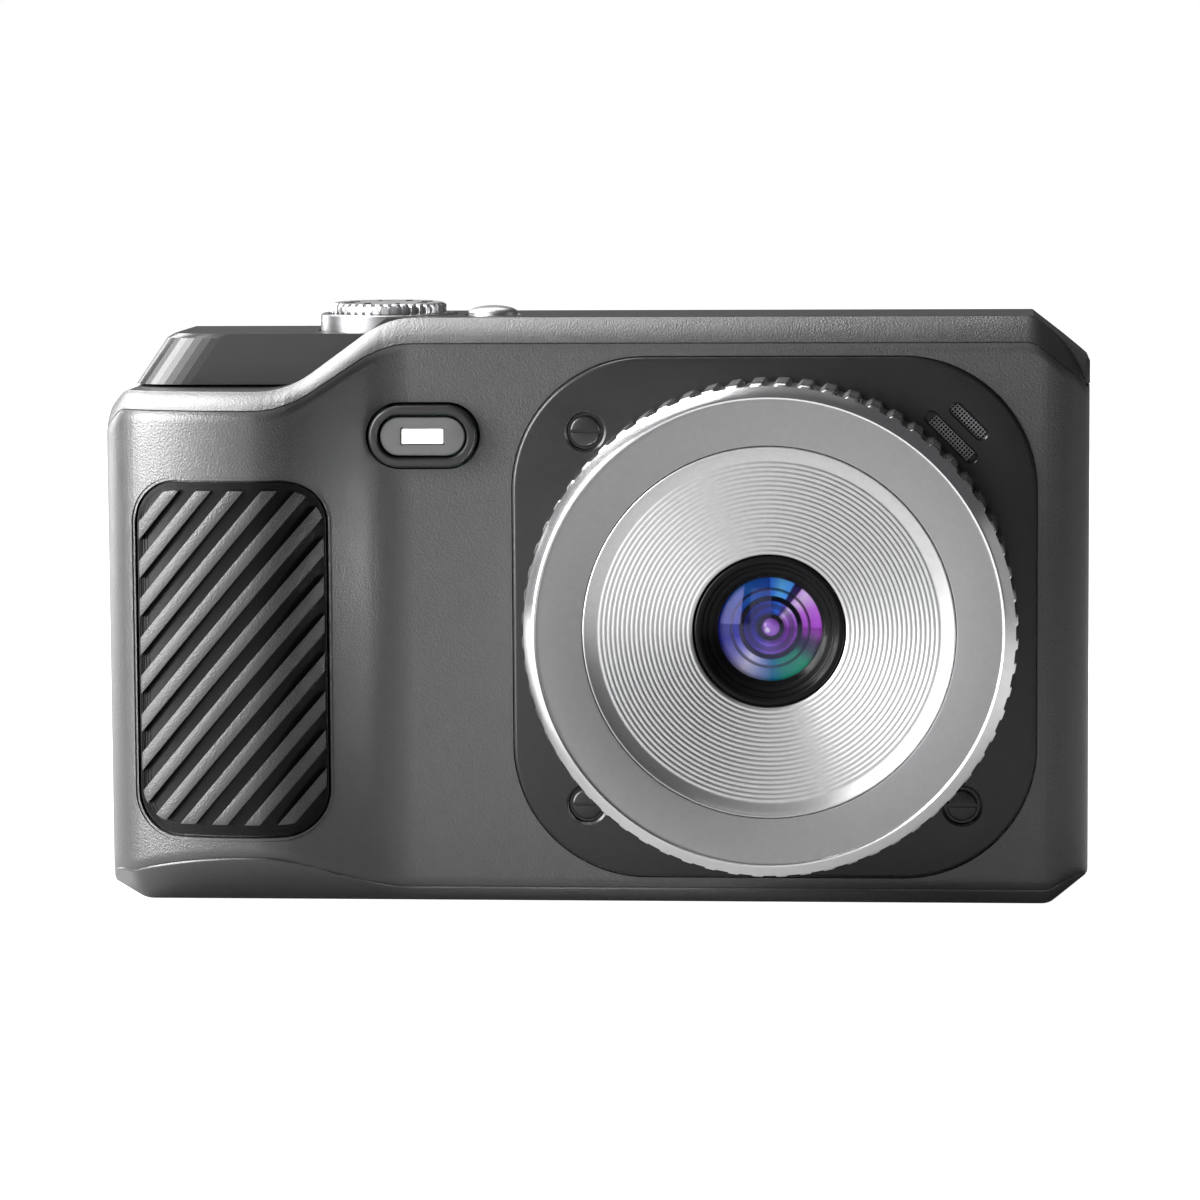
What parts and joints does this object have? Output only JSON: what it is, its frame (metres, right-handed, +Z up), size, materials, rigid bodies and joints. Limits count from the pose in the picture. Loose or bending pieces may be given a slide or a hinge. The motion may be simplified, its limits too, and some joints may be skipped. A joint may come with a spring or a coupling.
{
  "type": "compact digital camera",
  "caption": "Compact digital camera with a ribbed side grip, a large turning lens ring, a flash window, a mode dial, a shutter button and a rear screen.",
  "frame": {"origin": "under the middle of the camera, on the surface it stands on", "axes": "+X to the right seen from the front, +Y from the lens to the screen, +Z up"},
  "size_m": [0.11, 0.0386, 0.0674],
  "materials": {
    "grained_shell": "bead-blasted dark grey moulding, finely grained",
    "satin_shell": "smooth satin dark grey moulding",
    "plate_paint": "satin near-black grey",
    "grip_rubber": "moulded rubber, grainy on the ribs",
    "ring_aluminium": "bead-blasted satin face, bright edges",
    "spun_aluminium": "spun, with fine concentric grooves",
    "chrome": "polished",
    "steel": "satin",
    "black_plastic": "satin black",
    "lens_glass": "coated, violet and blue reflections",
    "flash_clear": "frosted clear plastic",
    "flash_light": "white emitter",
    "circuit_board": "solder mask",
    "cell_wrap": "matte label film, no print",
    "gold": "gold plated",
    "screen_glass": "black glass",
    "key_rubber": "matte"
  },
  "bodies": {
    "root": {"front_cover": "grained_shell", "rear_cover": "grained_shell", "top_cover": "satin_shell", "grip_pad": "grip_rubber", "lens_plate": "plate_paint", "lens_plate_screw_1": "plate_paint", "lens_plate_screw_2": "plate_paint", "lens_plate_screw_3": "plate_paint", "microphone_mesh": "black_plastic", "lens_mount": "black_plastic", "lens_bezel": "spun_aluminium", "lens_barrel": "black_plastic", "front_lens": "lens_glass", "lens_spacer": "black_plastic", "middle_lens": "lens_glass", "aperture_plate": "black_plastic", "rear_lens": "lens_glass", "lens_retainer": "black_plastic", "infrared_filter": "lens_glass", "image_sensor": "black_plastic", "sensor_board": "circuit_board", "flash_bezel": "satin_shell", "flash_window": "flash_clear", "flash_led": "flash_light", "flash_board": "circuit_board", "dial_collar": "steel", "dial_switch": "black_plastic", "shutter_spring": "steel", "shutter_switch": "black_plastic", "battery_holder": "black_plastic", "battery": "cell_wrap", "battery_contacts": "gold", "door_hinge_pin": "steel", "memory_card": "cell_wrap", "card_socket": "steel", "usb_socket": "steel", "tripod_socket": "steel", "strap_bar": "steel", "cover_screw_1": "steel", "cover_screw_2": "steel", "key_mat": "key_rubber", "main_board": "circuit_board", "display_window": "screen_glass", "display_panel": "black_plastic", "display_tray": "steel", "speaker": "black_plastic"},
    "control_ring": {"control_ring": "ring_aluminium"},
    "mode_dial": {"mode_dial": "chrome"},
    "shutter_button": {"shutter_button": "chrome"},
    "battery_door": {"battery_door": "grained_shell"},
    "door_latch": {"door_latch": "satin_shell"},
    "port_cover": {"port_cover": "grained_shell"},
    "right_key": {"right_key": "satin_shell"},
    "up_key": {"up_key": "satin_shell"},
    "left_key": {"left_key": "satin_shell"},
    "down_key": {"down_key": "satin_shell"},
    "ok_key": {"ok_key": "satin_shell"},
    "menu_key": {"menu_key": "satin_shell"},
    "playback_key": {"playback_key": "satin_shell"},
    "zoom_rocker": {"zoom_rocker": "satin_shell"}
  },
  "joints": [
    {"name": "control_ring_turn", "type": "hinge", "parent": "root", "child": "control_ring", "pos_m": [0.02, -0.012, 0.0326], "axis": [0, 1, 0], "continuous": true},
    {"name": "mode_dial_turn", "type": "hinge", "parent": "root", "child": "mode_dial", "pos_m": [-0.0243, 0.0086, 0.066], "axis": [0, 0, 1], "continuous": true},
    {"name": "shutter_press", "type": "slide", "parent": "root", "child": "shutter_button", "axis": [0, 0, -1], "range_m": [0, 0.0008], "stiffness_N_per_m": 400, "springref_m": -0.0005, "deforming": ["shutter_spring"]},
    {"name": "battery_door_swing", "type": "hinge", "parent": "root", "child": "battery_door", "pos_m": [-0.035, 0.0118, 0.0011], "axis": [1, 0, 0], "range_deg": [0, 95]},
    {"name": "door_latch_slide", "type": "slide", "parent": "battery_door", "child": "door_latch", "axis": [0, -1, 0], "range_m": [0, 0.0011]},
    {"name": "port_cover_swing", "type": "hinge", "parent": "root", "child": "port_cover", "pos_m": [0.0541, 0.0142, 0.028], "axis": [0, 0, 1], "range_deg": [0, 100]},
    {"name": "zoom_rocker_tilt", "type": "hinge", "parent": "root", "child": "zoom_rocker", "pos_m": [-0.0345, 0.0172, 0.0485], "axis": [0, 0, 1], "range_deg": [-4, 4], "stiffness_Nm_per_rad": 0.02},
    {"name": "right_key_press", "type": "slide", "parent": "root", "child": "right_key", "axis": [0, -1, 0], "range_m": [0, 0.0004], "stiffness_N_per_m": 600, "springref_m": -0.0003},
    {"name": "up_key_press", "type": "slide", "parent": "root", "child": "up_key", "axis": [0, -1, 0], "range_m": [0, 0.0004], "stiffness_N_per_m": 600, "springref_m": -0.0003},
    {"name": "left_key_press", "type": "slide", "parent": "root", "child": "left_key", "axis": [0, -1, 0], "range_m": [0, 0.0004], "stiffness_N_per_m": 600, "springref_m": -0.0003},
    {"name": "down_key_press", "type": "slide", "parent": "root", "child": "down_key", "axis": [0, -1, 0], "range_m": [0, 0.0004], "stiffness_N_per_m": 600, "springref_m": -0.0003},
    {"name": "ok_key_press", "type": "slide", "parent": "root", "child": "ok_key", "axis": [0, -1, 0], "range_m": [0, 0.0004], "stiffness_N_per_m": 600, "springref_m": -0.0003},
    {"name": "menu_key_press", "type": "slide", "parent": "root", "child": "menu_key", "axis": [0, -1, 0], "range_m": [0, 0.0004], "stiffness_N_per_m": 600, "springref_m": -0.0003},
    {"name": "playback_key_press", "type": "slide", "parent": "root", "child": "playback_key", "axis": [0, -1, 0], "range_m": [0, 0.0004], "stiffness_N_per_m": 600, "springref_m": -0.0003}
  ]
}
